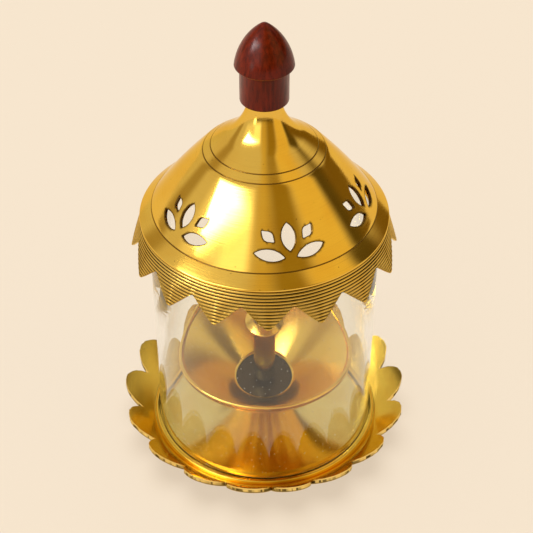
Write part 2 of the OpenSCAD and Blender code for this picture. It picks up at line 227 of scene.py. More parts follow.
class Graph:
    """A material's nodes, built from short calls."""

    def __init__(self, name, tree=None):
        self.material = None
        if tree is None:
            self.material = bpy.data.materials.new(name)
            self.material.use_nodes = True
            tree = self.material.node_tree
        self.tree = tree
        tree.nodes.clear()

    def node(self, kind, inputs=None, **settings):
        made = self.tree.nodes.new(kind)
        for key, value in settings.items():
            setattr(made, key, value)
        for key, value in (inputs or {}).items():
            self.put(made.inputs[key], value)
        return made

    def put(self, socket, value):
        if isinstance(value, bpy.types.NodeSocket):
            self.tree.links.new(value, socket)
        else:
            socket.default_value = value

    def math(self, operation, *values):
        made = self.node("ShaderNodeMath", operation=operation)
        for socket, value in zip(made.inputs, values):
            self.put(socket, value)
        return made.outputs[0]

    def fade(self, value, low, high, start=0.0, stop=1.0):
        """Goes smoothly from start to stop as value goes from low to high."""
        made = self.node("ShaderNodeMapRange", {0: value, 1: low, 2: high, 3: start, 4: stop},
                         interpolation_type="SMOOTHSTEP")
        return made.outputs[0]

    def mix(self, factor, a, b):
        made = self.node("ShaderNodeMix", data_type="RGBA")
        for index, value in ((0, factor), (6, a), (7, b)):
            if isinstance(value, tuple):
                value = (*value, 1)
            self.put(made.inputs[index], value)
        return made.outputs[2]

    def scaled(self, vector, factors):
        return self.node("ShaderNodeVectorMath", {0: vector, 1: factors}, operation="MULTIPLY").outputs[0]

    def noise(self, vector, scale, detail=2.0, w=None):
        made = self.node("ShaderNodeTexNoise", {"Vector": vector, "Scale": scale, "Detail": detail},
                         noise_dimensions="3D" if w is None else "4D")
        if w is not None:
            self.put(made.inputs["W"], w)
        return made.outputs["Fac"]

    def spots(self, vector, scale, core, edge):
        """Small round spots scattered through space: 1 in a spot's core, 0 past its edge."""
        cells = self.node("ShaderNodeTexVoronoi", {"Vector": vector, "Scale": scale, "Randomness": 1.0})
        return self.fade(cells.outputs["Distance"], core, edge, 1.0, 0.0)

    def place(self):
        """Object coordinates in millimetres: the point, its height, its radius and its compass point."""
        point = self.node("ShaderNodeVectorMath", {0: self.node("ShaderNodeTexCoord").outputs["Object"],
                                                   "Scale": 1 / MM}, operation="SCALE").outputs[0]
        parts = self.node("ShaderNodeSeparateXYZ", {0: point}).outputs
        flat = self.node("ShaderNodeCombineXYZ", {0: parts[0], 1: parts[1]}).outputs[0]
        radius = self.node("ShaderNodeVectorMath", {0: flat}, operation="LENGTH").outputs["Value"]
        compass = self.node("ShaderNodeVectorMath", {0: flat}, operation="NORMALIZE").outputs[0]
        return point, parts[2], radius, compass

    def finish(self, shader):
        self.node("ShaderNodeOutputMaterial", {"Surface": shader})
        return self.material


def brass(name, colour, shade, roughness, brush, aniso, dust=0.0, coat=0.08):
    """Polished brass with lathe marks, tarnish and painted shade in its hollows, stains, pits and a little
    dust.
    """
    marks_round, marks_per_mm, mark_depth = 1.1, 3.6, 0.02
    cloud_scale, pit_scale, pit_patches, speck_scale = 0.09, 0.42, 0.11, 0.55
    mark_shade, pit_shade, mark_rough, age_rough = 0.1, 0.7, 0.03, 0.25
    clouded = tuple(c * k for c, k in zip(colour, (0.96, 0.91, 0.82)))
    dust_tone, glancing = (0.9, 0.85, 0.72), (0.93, 0.80, 0.46, 1)
    g = Graph(name)
    point, height, radius, compass = g.place()
    wear_and_shade = g.node("ShaderNodeAttribute", attribute_name="wear_and_shade").outputs["Fac"]
    around = g.node("ShaderNodeVectorMath", {0: compass, "Scale": marks_round}, operation="SCALE").outputs[0]
    parts = g.node("ShaderNodeSeparateXYZ", {0: around}).outputs
    up = g.math("MULTIPLY", height, marks_per_mm)
    lathe_point = g.node("ShaderNodeCombineXYZ", {0: parts[0], 1: parts[1], 2: up})
    marks = g.noise(lathe_point.outputs[0], 1.0, w=g.math("MULTIPLY", radius, marks_per_mm))
    cloud = g.noise(point, cloud_scale, 3.0)
    patches = g.fade(g.noise(point, pit_patches, 1.0), 0.5, 0.62)
    pits = g.math("MULTIPLY", g.spots(point, pit_scale, 0.05, 0.10), patches)
    tone = g.mix(g.fade(cloud, 0.35, 0.7), colour, clouded)
    tone = g.mix(g.math("MULTIPLY", g.fade(marks, 0.5, 0.8), mark_shade), tone, shade)
    tone = g.mix(g.math("MULTIPLY", pits, pit_shade), tone, shade)
    # Painted shade, with tarnish: hollows and undersides marked on the mesh are drawn darker
    tone = g.mix(g.fade(wear_and_shade, 0.15, 0.9), tone, shade)
    metal = 1.0
    if dust:
        specks = g.math("MULTIPLY", g.spots(point, speck_scale, 0.10, 0.14), dust)
        tone = g.mix(specks, tone, dust_tone)
        metal = g.math("SUBTRACT", 1.0, specks)
    rough = g.math("ADD", g.math("MULTIPLY", g.fade(marks, 0.3, 0.75), mark_rough),
                   g.math("ADD", roughness, g.math("MULTIPLY", wear_and_shade, age_rough)))
    bump = g.node("ShaderNodeBump", {"Strength": brush, "Distance": mark_depth * MM, "Height": marks})
    tangent = g.node("ShaderNodeTangent", direction_type="RADIAL", axis="Z")
    shader = g.node("ShaderNodeBsdfPrincipled", {
        "Base Color": tone, "Metallic": metal, "Roughness": rough,
        "Anisotropic": aniso, "Anisotropic Rotation": 0.25, "Tangent": tangent.outputs[0],
        "Specular Tint": glancing, "Normal": bump.outputs[0],
        "Coat Weight": coat, "Coat Roughness": 0.05, "Coat IOR": 1.5})
    return g.finish(shader.outputs[0])


def clear_glass():
    """Clear drawn glass with a trace of smear that only its gloss shows."""
    tint, smear_scale, smear_rough = (0.985, 0.995, 0.99, 1), 0.05, 0.02
    g = Graph("clear_glass")
    point, *_ = g.place()
    smear = g.noise(point, smear_scale, 3.0)
    shader = g.node("ShaderNodeBsdfPrincipled", {
        "Base Color": tint, "Roughness": g.fade(smear, 0.45, 0.8, 0.0, smear_rough),
        "IOR": 1.48, "Transmission Weight": 1.0})
    return g.finish(shader.outputs[0])


def lacquered_wood():
    """Red-brown turned wood under lacquer, with grain, pores and a worn line under the cap."""
    pale, dark = (0.165, 0.0125, 0.002), (0.075, 0.005, 0.0008)
    pore_tone, worn_tone, pore_shade = (0.02, 0.002, 0.001), (0.55, 0.17, 0.03), 0.6
    along_grain, grain_scale, pore_scale, grain_depth = 0.16, 0.9, 3.4, 0.08
    g = Graph("lacquered_wood")
    point, *_ = g.place()
    stretched = g.scaled(point, (1.0, 1.0, along_grain))
    grain = g.noise(stretched, grain_scale, 5.0)
    pores = g.fade(g.noise(stretched, pore_scale), 0.62, 0.7)
    tone = g.mix(g.fade(grain, 0.3, 0.7), pale, dark)
    tone = g.mix(g.math("MULTIPLY", pores, pore_shade), tone, pore_tone)
    wear_and_shade = g.node("ShaderNodeAttribute", attribute_name="wear_and_shade").outputs["Fac"]
    tone = g.mix(wear_and_shade, tone, worn_tone)
    bump = g.node("ShaderNodeBump", {"Strength": 0.25, "Distance": grain_depth * MM, "Height": grain})
    shader = g.node("ShaderNodeBsdfPrincipled", {
        "Base Color": tone, "Roughness": g.fade(grain, 0.3, 0.8, 0.28, 0.38), "Normal": bump.outputs[0],
        "Specular IOR Level": 0.03, "Coat Weight": 0.34, "Coat Roughness": 0.2})
    return g.finish(shader.outputs[0])


def cotton():
    """Ivory cotton with fine fibre shading and a soft sheen."""
    shaded, ivory = (0.62, 0.55, 0.42), (0.86, 0.82, 0.72)
    across, along, fibre_depth = 6.0, 1.2, 0.15
    g = Graph("cotton")
    point, *_ = g.place()
    fibre = g.noise(g.scaled(point, (across, across, along)), 1.0, 4.0)
    tone = g.mix(g.fade(fibre, 0.3, 0.7), shaded, ivory)
    bump = g.node("ShaderNodeBump", {"Strength": 0.6, "Distance": fibre_depth * MM, "Height": fibre})
    shader = g.node("ShaderNodeBsdfPrincipled", {
        "Base Color": tone, "Roughness": 0.9, "Normal": bump.outputs[0], "Sheen Weight": 0.4})
    return g.finish(shader.outputs[0])


def steel():
    """Zinc-plated steel with a turned grain."""
    dull, bright = (0.46, 0.46, 0.45), (0.66, 0.66, 0.64)
    rings_per_mm, ring_depth = 4.0, 0.05
    g = Graph("steel")
    _, height, radius, _ = g.place()
    rings = g.noise(g.node("ShaderNodeCombineXYZ", {0: radius, 1: height}).outputs[0], rings_per_mm, 3.0)
    tone = g.mix(g.fade(rings, 0.3, 0.7), dull, bright)
    bump = g.node("ShaderNodeBump", {"Strength": 0.2, "Distance": ring_depth * MM, "Height": rings})
    shader = g.node("ShaderNodeBsdfPrincipled", {
        "Base Color": tone, "Metallic": 1.0, "Roughness": g.fade(rings, 0.3, 0.7, 0.25, 0.4),
        "Normal": bump.outputs[0]})
    return g.finish(shader.outputs[0])


# Tones of the brass, and of its tarnish and painted shade
GOLD, DISH_GOLD, BOWL_GOLD = (0.86, 0.55, 0.095), (0.83, 0.55, 0.085), (0.88, 0.59, 0.11)
PALE_GOLD, FILED_GOLD, RIBBED_GOLD = (0.82, 0.66, 0.25), (0.90, 0.66, 0.22), (0.74, 0.485, 0.105)
GREY_BRASS, DARK_DISC_BRASS = (0.52, 0.52, 0.40), (0.05, 0.032, 0.013)
UMBER, FILED_DARK = (0.085, 0.042, 0.008), (0.05, 0.026, 0.004)
RIB_VALLEY_SHADE, DISC_DARK = (0.018, 0.010, 0.002), (0.02, 0.012, 0.005)
dome_brass = brass("dome_brass", GOLD, UMBER, roughness=0.09, brush=0.4, aniso=0.5)
pedestal_brass = brass("pedestal_brass", PALE_GOLD, UMBER, roughness=0.13, brush=0.2, aniso=0.6, dust=0.5)
bowl_brass = brass("bowl_brass", BOWL_GOLD, UMBER, roughness=0.19, brush=0.3, aniso=0.3, dust=0.5)
disc_brass = brass("disc_brass", DARK_DISC_BRASS, DISC_DARK, roughness=0.34, brush=0.5, aniso=0.0, dust=0.8,
                   coat=0.1)
tube_brass = brass("tube_brass", GREY_BRASS, UMBER, roughness=0.12, brush=0.3, aniso=0.3)
dish_brass = brass("dish_brass", DISH_GOLD, UMBER, roughness=0.08, brush=0.2, aniso=0.3)
filed_brass = brass("filed_brass", FILED_GOLD, FILED_DARK, roughness=0.14, brush=0.3, aniso=0.0)
# Its dark tone is painted shade in the rib valleys, with some tarnish
ribbed_brass = brass("ribbed_brass", RIBBED_GOLD, RIB_VALLEY_SHADE, roughness=0.18, brush=0.3, aniso=0.3,
                     coat=0.1)
glass = clear_glass()
wood = lacquered_wood()
cotton_yarn = cotton()
plated_steel = steel()

# Lotus dish


def filing(columns):
    """How deep a file has cut into the edge at each column, and how dark that flat is drawn: uneven flats."""
    longest, deepest, darkest = 4, 0.3, 0.9
    cuts = []
    depth = 0.1
    while len(cuts) < columns:
        length, other, tone = draw.randint(1, longest), draw.uniform(0, deepest), draw.uniform(0, darkest)
        cuts += [(depth + (other - depth) * k / length, tone) for k in range(length)]
        depth = other
    return cuts[:columns]


def dish():
    """The dish: a floor with a bead round the glass, a lotus edge of filed petals and a foot ring."""
    glass_gap, bead_foot, bead_turn, foot_round = 0.12, 0.4, 125, 0.4
    ease, brow_ease, face_wear, sole_ease = 0.3, 0.08, 0.08, 0.03
    sole_darkening, under_darkening = 0.7, 0.3
    edge_rows, petal_rows, columns = 5, 9, 1080
    bead_c = GLASS_R + GLASS_PLAY + BEAD_R
    slope = math.radians(PETAL_SLOPE)
    rise = PETAL_BEND * math.tan(slope / 2)
    start = bead_c + BEAD_R + rise
    z_plate = Z_SEAT - PLATE_T
    under = start + PLATE_T * math.tan(slope / 2)
    notch_r = PETAL_TIP_R - PETAL_NOTCH
    notches = (PETAL_NOTCHES[-1] - 360,) + PETAL_NOTCHES + (PETAL_NOTCHES[0] + 360,)
    close, hole = GLASS_R + glass_gap, BOLT_R + HOLE_GAP
    bead = [(close, Z_SEAT), (close, Z_SEAT + bead_foot)] + arc((bead_c, Z_SEAT), BEAD_R, bead_turn, 0)
    bend = arc((start - rise, Z_SEAT + PETAL_BEND), PETAL_BEND, -90, PETAL_SLOPE - 90)
    floor = [(hole, z_plate), (hole, Z_SEAT), (PED_FOOT_R, Z_SEAT)]
    foot_out, foot_in = FOOT_R + FOOT_W / 2, FOOT_R - FOOT_W / 2
    ring = rounded([(foot_out, z_plate, 0), (foot_out, 0, foot_round),
                    (foot_in, 0, foot_round), (foot_in, z_plate, 0)], 0)
    filed = filing(columns)

    def edge_at(angle):
        """Radius of the dish's edge: round petals between the notches."""
        for left, right in zip(notches, notches[1:]):
            if left <= angle <= right:
                half = math.radians((right - left) / 2)
                away = math.radians(angle - (left + right) / 2)
                lobe_c = (PETAL_TIP_R ** 2 - notch_r ** 2) / (2 * (PETAL_TIP_R - notch_r * math.cos(half)))
                lobe_r = PETAL_TIP_R - lobe_c
                return lobe_c * math.cos(away) + math.sqrt(lobe_r ** 2 - (lobe_c * math.sin(away)) ** 2)

    def outline(angle):
        cut, tone = filed[round(angle * columns / 360)]
        edge = edge_at(angle) - cut
        reach = edge - ease - bend[-1][0]
        steps = [reach * k / petal_rows for k in range(1, petal_rows + 1)]
        petal = [(bend[-1][0] + step, bend[-1][1] + step * math.tan(slope)) for step in steps]
        z_high = Z_SEAT + (edge - start) * math.tan(slope)
        z_low = z_plate + (edge - under) * math.tan(slope)
        rise_left = z_low + 2 * ease - z_high
        brow = [(edge - brow_ease, z_high - brow_ease), (edge, z_high - ease)]
        face = [(edge - draw.uniform(0, face_wear), z_high - ease + rise_left * k / (edge_rows - 2), tone)
                for k in range(1, edge_rows - 2)]
        # Painted shade, with tarnish: the edge's lower corner and the underside are drawn darker
        sole = [(edge - sole_ease, z_low + ease, sole_darkening),
                (edge - ease, z_low - ease * math.tan(slope), under_darkening)]
        return floor + bead + bend + petal + brow + face + sole + [(under, z_plate)] + ring

    bm = bmesh.new()
    strips = turned(bm, outline, columns)
    first = len(floor) + len(bead) + len(bend) + petal_rows - 1
    for strip in strips:
        for face in strip[first:first + edge_rows + 1]:
            face.material_index = 1
    return piece("lotus_dish", bm, "base", [dish_brass, filed_brass], "base_plate")


# Pedestal, bowl and wick holder


def pedestal():
    """The trumpet that carries the bowl: two concentric arcs with a bore for the bowl's boss."""
    foot_ease = 0.15
    edge, top = (PED_FOOT_R, Z_SEAT + PED_EDGE), (PED_TOP_R, Z_PED_TOP)
    centre = arc_centre(top, edge, PED_CURVE)
    inner_r = PED_CURVE + PED_T
    outer = arc(centre, PED_CURVE, heading(centre, edge) % 360, heading(centre, top) % 360, steps=40)
    low = math.degrees(math.asin((Z_SEAT - centre[1]) / inner_r))
    high = math.degrees(math.asin((Z_PED_TOP - PED_T - centre[1]) / inner_r))
    inner = arc(centre, inner_r, 180 - high, 180 - low, steps=24)
    bore = BOSS_R + BOSS_GAP
    outline = [(PED_FOOT_R - foot_ease, Z_SEAT), (PED_FOOT_R, Z_SEAT + foot_ease)] + outer
    outline += [(bore, Z_PED_TOP), (bore, Z_PED_TOP - PED_T)] + inner
    return lathe("pedestal_trumpet", outline, "base", [pedestal_brass], "pedestal",
                 segments=256)


def oil_bowl():
    """The bowl: a flared funnel with a rolled rim, a dark disc at its bottom and a boss below."""
    lip_lap, wall_tuck, bead_start, bead_stop = 0.25, 2.2, 175, -70
    disc_ease, disc_darkening, spigot_gap = 0.1, 0.5, 0.2
    disc_faces = slice(2, 4)
    floor_p = (DISC_R + DISC_DEPTH, Z_DISC + DISC_DEPTH)
    rim_c = (BOWL_R - RIM_BEAD, Z_RIM - RIM_BEAD)
    centre = arc_centre(floor_p, rim_c, BOWL_CURVE)
    lip = (rim_c[0] - RIM_BEAD / 2, rim_c[1])
    mouth = arc_centre(lip, floor_p, BOWL_FLARE)
    inner = arc(mouth, BOWL_FLARE, heading(mouth, floor_p), heading(mouth, lip) + lip_lap, steps=40)
    bead = arc(rim_c, RIM_BEAD, bead_start, bead_stop, steps=20)
    under_r = BOWL_CURVE + BOWL_WALL
    foot_turn = math.degrees(math.asin((Z_PED_TOP - centre[1]) / under_r))
    outer = arc(centre, under_r, heading(centre, rim_c) - wall_tuck, foot_turn, steps=40)
    socket_z, hole = Z_SPIGOT - spigot_gap, BOLT_R + THREAD_GAP
    outline = [(0, socket_z), (SOCKET_R, socket_z), (SOCKET_R, Z_DISC)]
    # Painted shade, with tarnish: the wall of the disc's step is drawn darker; the disc itself is drawn
    # near-black
    outline += [(DISC_R - disc_ease, Z_DISC), (DISC_R, Z_DISC + disc_ease, disc_darkening),
                (DISC_R, Z_DISC + DISC_DEPTH - disc_ease, disc_darkening)]
    outline += inner + bead + outer
    outline += [(BOSS_R, Z_PED_TOP), (BOSS_R, Z_BOSS), (hole, Z_BOSS), (hole, Z_BOSS + BOLT_DEPTH),
                (0, Z_BOSS + BOLT_DEPTH)]
    bm = bmesh.new()
    for strip in turned(bm, lambda angle: outline, segments=256):
        for face in strip[disc_faces]:
            face.material_index = 1
    return piece("oil_bowl_spun", bm, "base", [bowl_brass, disc_brass], "oil_bowl")


def wick_tube():
    """The tube: a spigot, a body with a bore for the wick, a nozzle, and oil inlets drilled across."""
    fine, soft, lip = 0.2, 0.3, 0.25
    z_bore = Z_DISC + TUBE_CHAMFER
    outline = rounded([(0, Z_SPIGOT, 0), (SPIGOT_R, Z_SPIGOT, soft), (SPIGOT_R, Z_DISC, 0),
                       (TUBE_FOOT_R, Z_DISC, fine), (TUBE_R, z_bore, soft), (TUBE_R, Z_STEP, fine),
                       (NOZZLE_R, Z_STEP, 0), (NOZZLE_R, Z_NOZZLE, lip), (BORE_R, Z_NOZZLE, fine),
                       (BORE_R, z_bore, 0), (0, z_bore, 0)], 0)
    tube = lathe("wick_tube_turned", outline, "wick_holder", [tube_brass], "wick_tube",
                 segments=96)
    drill = bmesh.new()
    bmesh.ops.create_cone(drill, cap_ends=True, segments=32, radius1=INLET_R * MM, radius2=INLET_R * MM,
                          depth=4 * TUBE_R * MM)
    mesh = bpy.data.meshes.new("inlet_drill")
    for vert in drill.verts:
        vert.co = Vector((vert.co.z, vert.co.y, vert.co.x + (z_bore + 2 * INLET_R) * MM))
    bmesh.ops.recalc_face_normals(drill, faces=drill.faces)
    drill.to_mesh(mesh)
    drill.free()
    cutter = bpy.data.objects.new("inlet_drill", mesh)
    bpy.context.scene.collection.objects.link(cutter)
    cut = tube.modifiers.new("inlets", "BOOLEAN")
    cut.object, cut.operation, cut.solver = cutter, "DIFFERENCE", "EXACT"
    bpy.context.view_layer.update()
    bored = bpy.data.meshes.new_from_object(tube.evaluated_get(bpy.context.evaluated_depsgraph_get()))
    tube.modifiers.clear()
    tube.data = bored
    bored.set_sharp_from_angle(angle=math.radians(SHARP))
    bpy.data.objects.remove(cutter)
    return tube


def drip_collar():
    """The collar: a shallow cone round the tube with a narrow lip on top."""
    edge_round, corner_round = 0.25, 0.12
    hole = TUBE_R + COLLAR_GAP
    top_r = hole + 2 * COLLAR_LIP
    lip_r, under_r = top_r - COLLAR_LIP, COLLAR_R - 2 * COLLAR_LIP
    z_edge = Z_COLLAR_TOP - COLLAR_CONE
    z_under = z_edge - COLLAR_EDGE
    outline = rounded([(hole, Z_COLLAR_UNDER), (under_r, Z_COLLAR_UNDER), (COLLAR_R, z_under),
                       (COLLAR_R, z_edge, edge_round), (top_r, Z_COLLAR_TOP), (lip_r, Z_COLLAR_TOP),
                       (lip_r, Z_STEP), (hole, Z_STEP)], corner_round)
    return lathe("drip_collar_turned", outline, "wick_holder", [bowl_brass], "drip_collar",
                 segments=128)


def cotton_wick():
    """Three fluted strands laid round each other, their ends a little apart."""
    strands, strand_r = 3, WICK_R * 0.5
    lay, sides, step = 9.0, 15, 0.45
    flutes, flute_depth, flute_twist, slack = 5, 0.07, 1.3, 0.02
    end_step, end_size, near_end_size = 0.7, 0.55, 0.85
    across = WICK_R - strand_r
    bm = bmesh.new()
    for strand in range(strands):
        top = Z_WICK_TOP - end_step * strand * strand_r
        count = int((top - Z_WICK_FOOT) / step)
        rings = []
        for k in range(count + 1):
            z = Z_WICK_FOOT + (top - Z_WICK_FOOT) * k / count
            t = math.radians(360 * z / lay + 360 / strands * strand)
            size = strand_r * (end_size if k == count else near_end_size if k in (0, count - 1) else 1)
            ring = []
            for side in range(sides):
                a = math.radians(360 * side / sides)
                flute = flute_depth * math.cos(flutes * (a + flute_twist * z))
                r = size * (1 - flute_depth + flute) - slack
                x, y = across + r * math.cos(a), r * math.sin(a)
                ring.append(bm.verts.new(Vector((x * math.cos(t) - y * math.sin(t),
                                                 x * math.sin(t) + y * math.cos(t), z)) * MM))
            rings.append(ring)
        for low, high in zip(rings, rings[1:]):
            for side in range(sides):
                nxt = (side + 1) % sides
                bm.faces.new((low[side], low[nxt], high[nxt], high[side]))
        bm.faces.new(rings[0])
        bm.faces.new(rings[-1])
    return piece("twisted_wick", bm, "wick", [cotton_yarn], "cotton_wick", sharp=60)


# Chimney


def chimney():
    """The glass: a drawn tube with a faintly wavy bore and melted ends."""
    waves, end_round, end_steps = ((3, 0.05), (7, 0.03)), 0.6, 6

    def outline(angle):
        turn = math.radians(angle)
        inner = GLASS_R - GLASS_WALL + sum(size * math.sin(count * turn + count) for count, size in waves)
        corners = [(GLASS_R, Z_SEAT), (GLASS_R, Z_GLASS_TOP), (inner, Z_GLASS_TOP), (inner, Z_SEAT)]
        return rounded(corners, end_round, end_steps)

    bm = bmesh.new()
    turned(bm, outline, segments=256)
    return piece("glass_tube", bm, "chimney", [glass], "glass_chimney", sharp=60)


# Canopy, its band of leaves measured up the cone from the knee
LIP_C = (BRIM_R - LIP_R, Z_FLANGE_TOP + LIP_R)
BRIM_TURN, CONE_TURN = math.radians(BRIM_SLOPE), math.radians(CONE_SLOPE)
BRIM_P = (LIP_C[0] + LIP_R * math.sin(BRIM_TURN), LIP_C[1] + LIP_R * math.cos(BRIM_TURN))
KNEE_P = fall(BRIM_P, BRIM_SLOPE, BRIM_R - BRIM_W)
SHOULDER_P = fall(KNEE_P, CONE_SLOPE, KNEE_P[0] - CONE_W)
GROOVE_ROOM, SHOULDER_ROOM = 1.2, 0.25
BAND_LOW = GROOVE_ROOM * GROOVE_R
BAND_HIGH = CONE_W / math.cos(CONE_TURN) - SHOULDER_ROOM
DOME_SEGMENTS = 360


def groove(centre, down, up):
    """A round groove across a sloping line, from the side at angle down to the side at angle up; its bottom
    is painted shade, with tarnish.
    """
    edge_darkening, groove_darkening, steps = 0.15, 0.6, 6
    return [(*p, edge_darkening + groove_darkening * math.sin(math.pi * k / steps))
            for k, p in enumerate(arc(centre, GROOVE_SEEN, down, up, steps))]


def up_cone(along, depth):
    """Radius and height of a point of the slightly crowned cone: its way up and its depth in the sheet."""
    part = along * math.cos(CONE_TURN) / CONE_W
    depth -= CONE_CROWN * 4 * part * (1 - part)
    return (KNEE_P[0] - along * math.cos(CONE_TURN) - depth * math.sin(CONE_TURN),
            KNEE_P[1] + along * math.sin(CONE_TURN) - depth * math.cos(CONE_TURN))


def on_cone(angle, along, depth):
    """A point of the cone band in space."""
    return polar(angle, *up_cone(along, depth))


def leaf(length, width):
    """Outline of a pointed leaf that grows along +Y from the origin."""
    radius = (length ** 2 + width ** 2) / (4 * width)
    sweep = math.degrees(math.asin(length / 2 / radius))
    right = arc((width / 2 - radius, length / 2), radius, -sweep, sweep, 16)
    return right[:-1] + [(-x, y) for x, y in reversed(right[1:])]


def bud(length, width):
    """Outline of a small diamond leaf with soft corners."""
    tip_round, side_round, half, middle = 0.5, 1.3, width / 2, length / 2
    return rounded([(0, 0, tip_round), (half, middle, side_round), (0, length, tip_round),
                    (-half, middle, side_round)], 0, steps=5)


def moved(outline, along, turn):
    """An outline moved along +Y, then turned about the origin, positive to the left."""
    t = math.radians(turn)
    return [(x * math.cos(t) - (y + along) * math.sin(t), x * math.sin(t) + (y + along) * math.cos(t))
            for x, y in outline]


def spray():
    """Outlines of the five leaves of a spray in the plane of the cone, its stem at the origin."""
    shapes = [moved(leaf(LEAF_LEN, LEAF_W), LEAF_UP, 0)]
    for side in (-1, 1):
        shapes.append(moved(leaf(SIDE_LEN, SIDE_W), SIDE_OUT, -side * (90 - SIDE_RISE)))
        shapes.append(moved(bud(BUD_LEN, BUD_W), BUD_OUT, -side * BUD_TURN))
    return shapes


def wider(outline, margin):
    """An outline, drawn anticlockwise, moved out by a margin."""
    result = []
    for k, (x, y) in enumerate(outline):
        ax, ay = outline[k - 1]
        bx, by = outline[(k + 1) % len(outline)]
        way = Vector((by - ay, ax - bx)).normalized()
        result.append((x + margin * way.x, y + margin * way.y))
    return result


def wrapped(outline, turn):
    """An outline in a spray's plane, laid square onto the cone: angles and ways up the cone."""
    sin, cos = math.sin(CONE_TURN), math.cos(CONE_TURN)
    result = []
    for x, y in outline:
        y += SPRAY_UP
        reach = KNEE_P[0] - y * cos
        a, b = -math.cos(2 * CONE_TURN) / sin ** 2, 2 * reach / sin
        t = (-b + math.sqrt(b * b - 4 * a * x * x)) / (2 * a)
        angle = turn + math.degrees(math.atan2(x, reach + t * sin))
        result.append((angle, y + t * cos / sin))
    return result


def inside(polygon, point):
    """True if a point lies in a polygon."""
    x, y = point
    odd = False
    for (ax, ay), (bx, by) in zip(polygon, polygon[1:] + polygon[:1]):
        if (ay > y) != (by > y) and x < ax + (y - ay) * (bx - ax) / (by - ay):
            odd = not odd
    return odd


def pierced_band(bm):
    """The cone of the dome: a sheet with its leaf sprays cut out and their edges eased."""
    wear_and_shade = bm.verts.layers.float.get("wear_and_shade")
    rows, seam, ease, clear, saw_wobble, plan_gap = 26, 44, 0.2, 0.5, 0.07, 1e-6
    wall_darkening, lip_darkening = 0.95, 0.75
    scale = KNEE_P[0] * math.pi / 180
    holes = []
    for turn in SPRAY_TURNS:
        for shape in spray():
            rough = [(x + saw_wobble * noise.noise((x, y, turn)), y + saw_wobble * noise.noise((y, x, turn)))
                     for x, y in shape]
            place = turn if turn > seam else turn + 360
            holes.append((wrapped(rough, place), wrapped(wider(rough, ease), place)))
    plan = []
    for row in range(rows + 1):
        along = BAND_LOW + (BAND_HIGH - BAND_LOW) * row / rows
        plan += [((seam + column) * scale, along) for column in range(DOME_SEGMENTS + 1)]
    flat_holes = [[(a * scale, s) for a, s in wide] for _, wide in holes]
    spots = [Vector(p) for hole in flat_holes for p in hole]
    edges = []
    verts = []
    for index, (u, s) in enumerate(plan):
        rim = index <= DOME_SEGMENTS or index >= rows * (DOME_SEGMENTS + 1)
        near = any(abs(u - p.x) < clear and abs(s - p.y) < clear for p in spots)
        if rim or not (near or any(inside(hole, (u, s)) for hole in flat_holes)):
            verts.append(Vector((u, s)))
    first_of_hole = []
    for hole in flat_holes:
        base = len(verts)
        first_of_hole.append(base)
        verts += [Vector(p) for p in hole]
        edges += [(base + k, base + (k + 1) % len(hole)) for k in range(len(hole))]
    points, _, faces, sources, _, _ = geometry.delaunay_2d_cdt(verts, edges, [], 0, plan_gap)
    made_from = {source: k for k, group in enumerate(sources) for source in group}
    outer = [bm.verts.new(on_cone(p.x / scale, p.y, 0)) for p in points]
    inner = [bm.verts.new(on_cone(p.x / scale, p.y, DOME_T)) for p in points]
    boxes = [(min(u for u, _ in h), max(u for u, _ in h), min(s for _, s in h), max(s for _, s in h), h)
             for h in flat_holes]
    for face in faces:
        middle = sum((points[k] for k in face), Vector((0, 0))) / 3
        if any(a < middle.x < b and c < middle.y < d and inside(h, tuple(middle)) for a, b, c, d, h in boxes):
            continue
        bm.faces.new([outer[k] for k in face])
        bm.faces.new([inner[k] for k in reversed(face)])
    for (true, wide), base in zip(holes, first_of_hole):
        lip = [outer[made_from[base + k]] for k in range(len(wide))]
        back = [inner[made_from[base + k]] for k in range(len(wide))]
        wall = [bm.verts.new(on_cone(a, s, ease)) for a, s in true]
        # Painted shade, with tarnish: the cut walls and their lips are drawn dark
        for vert in wall + back:
            vert[wear_and_shade] = wall_darkening
        for vert in lip:
            vert[wear_and_shade] = lip_darkening
        for upper, lower in ((lip, wall), (wall, back)):
            for k in range(len(wide)):
                nxt = (k + 1) % len(wide)
                bm.faces.new((upper[k], upper[nxt], lower[nxt], lower[k]))


